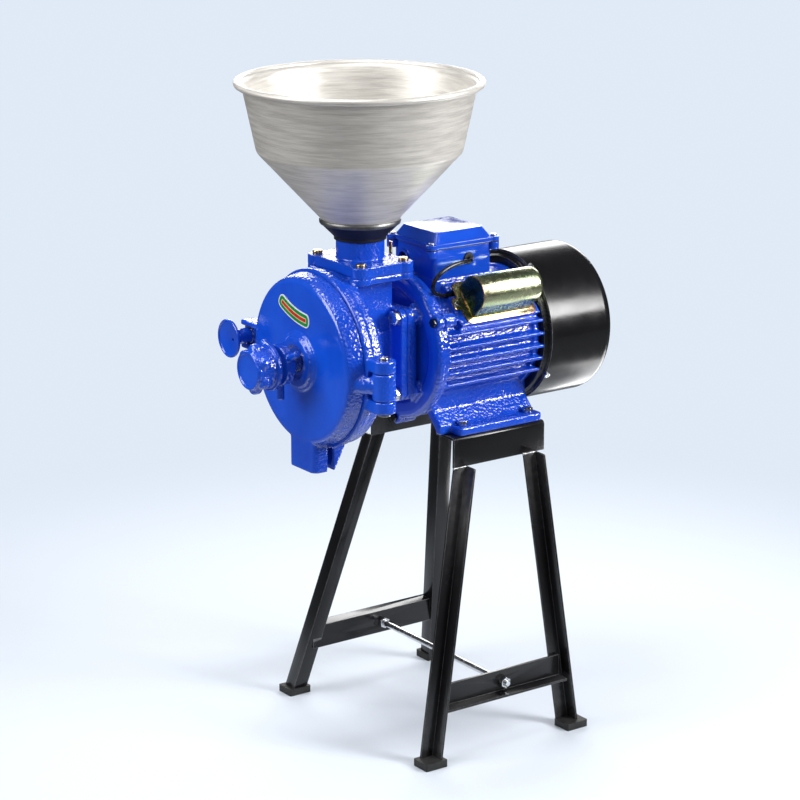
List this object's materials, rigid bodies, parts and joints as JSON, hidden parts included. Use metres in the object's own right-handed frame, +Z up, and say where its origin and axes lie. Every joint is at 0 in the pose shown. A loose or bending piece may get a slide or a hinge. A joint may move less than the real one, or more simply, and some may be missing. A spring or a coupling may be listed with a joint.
{
  "type": "electric grain mill",
  "caption": "Motor-driven disc grain mill with a conical hopper, hinged grinding door, adjusting knob and flour spout, on an angle-iron stand.",
  "frame": {"origin": "on the floor, midway between the four shoes of the stand", "axes": "+Z up, -Y towards the grinding door, +X to the right of someone facing the door"},
  "size_m": [0.329, 0.4858, 0.826],
  "materials": {
    "black_enamel": "satin black stove enamel",
    "black_rubber": "moulded black rubber",
    "collar_black": "satin black with a bare grey ring",
    "lead_black": "black sheathed lead",
    "zinc_plate": "bright zinc plate",
    "blue_enamel": "glossy hammered cobalt-blue enamel",
    "steel": "bright turned steel",
    "lamination": "stacked sheet",
    "copper_wire": "varnished copper wire",
    "moulding": "moulded plastic",
    "capacitor_can": "pale plastic can",
    "yellow_zinc": "yellow passivated zinc plate",
    "felt": "felt",
    "white_iron": "ground cast iron",
    "cast_iron": "cast iron",
    "brass_screws": "brass",
    "spun_aluminium": "spun aluminium with turning rings",
    "badge": "printed badge"
  },
  "bodies": {
    "mill": {"capacitor": "capacitor_can", "capacitor_cover": "yellow_zinc", "capacitor_lead": "lead_black", "capacitor_screws": "zinc_plate", "cowl_screws": "zinc_plate", "fan_cowl": "black_enamel", "fixed_disc_screws": "steel", "fixed_grinding_disc": "white_iron", "front_end_shield": "blue_enamel", "hinge_pin": "steel", "hopper": "spun_aluminium", "hopper_collar": "collar_black", "housing_bolts": "zinc_plate", "inlet_casting": "blue_enamel", "inlet_screws": "brass_screws", "lead_grommet": "black_rubber", "mill_housing": "blue_enamel", "motor_foot_bolts": "zinc_plate", "motor_frame": "blue_enamel", "rear_end_shield": "black_enamel", "shaft_bearings": "steel", "shaft_seal": "felt", "stand_brace_left": "black_enamel", "stand_brace_right": "black_enamel", "stand_leg_back_left": "black_enamel", "stand_leg_back_right": "black_enamel", "stand_leg_front_left": "black_enamel", "stand_leg_front_right": "black_enamel", "stand_rail_left": "black_enamel", "stand_rail_right": "black_enamel", "stand_shoes": "black_rubber", "stator_core": "lamination", "stator_windings": "copper_wire", "terminal_board": "moulding", "terminal_box": "blue_enamel", "terminal_gasket": "black_rubber", "terminal_lid": "blue_enamel", "terminal_screws": "zinc_plate", "tie_bolts": "zinc_plate", "tie_rod": "zinc_plate", "tie_rod_nuts": "zinc_plate"},
    "rotor": {"motor_shaft": "steel", "rotor_core": "lamination", "cooling_fan": "moulding", "feed_auger": "cast_iron", "return_spring": "steel"},
    "disc": {"disc_carrier": "cast_iron", "moving_grinding_disc": "white_iron", "moving_disc_screws": "steel"},
    "door": {"door": "blue_enamel", "door_badge": "badge", "door_seal": "black_rubber"},
    "ball": {"thrust_ball": "steel"},
    "screw": {"adjusting_screw": "steel", "adjusting_knob": "blue_enamel"},
    "lock_ring": {"lock_ring": "blue_enamel"},
    "clamp_seat": {"clamp_washer": "zinc_plate"},
    "clamp_screw": {"clamp_knob": "blue_enamel", "clamp_stud": "zinc_plate"},
    "gate": {"feed_gate": "yellow_zinc"}
  },
  "joints": [
    {"name": "rotor_spin", "type": "hinge", "parent": "mill", "child": "rotor", "pos_m": [0, 0.03, 0.493], "axis": [0, 1, 0], "continuous": true},
    {"name": "disc_slide", "type": "slide", "parent": "rotor", "child": "disc", "axis": [0, -1, 0], "range_m": [0, 0.006]},
    {"name": "door_swing", "type": "hinge", "parent": "mill", "child": "door", "pos_m": [0.1235, -0.1605, 0.4838], "axis": [0, 0, 1], "range_deg": [0, 110]},
    {"name": "ball_slide", "type": "slide", "parent": "door", "child": "ball", "axis": [0, -1, 0], "range_m": [0, 0.006]},
    {"name": "knob_turn", "type": "hinge", "parent": "ball", "child": "screw", "pos_m": [0, -0.24, 0.493], "axis": [0, -1, 0], "range_deg": [0, 720]},
    {"name": "lock_ring_turn", "type": "hinge", "parent": "screw", "child": "lock_ring", "pos_m": [0, -0.225, 0.493], "axis": [0, -1, 0], "range_deg": [0, 90]},
    {"name": "clamp_slide", "type": "slide", "parent": "door", "child": "clamp_seat", "axis": [0, -1, 0], "range_m": [0, 0.015]},
    {"name": "clamp_turn", "type": "hinge", "parent": "clamp_seat", "child": "clamp_screw", "pos_m": [-0.1215, -0.2, 0.4992], "axis": [0, -1, 0], "range_deg": [0, 1800]},
    {"name": "gate_slide", "type": "slide", "parent": "mill", "child": "gate", "axis": [0, 1, 0], "range_m": [0, 0.028]}
  ],
  "couplings": [
    {"joint": "disc_slide", "follows": "knob_turn", "m_per_rad": 0.00047746},
    {"joint": "ball_slide", "follows": "knob_turn", "m_per_rad": 0.00047746},
    {"joint": "clamp_slide", "follows": "clamp_turn", "m_per_rad": 0.00047746}
  ]
}
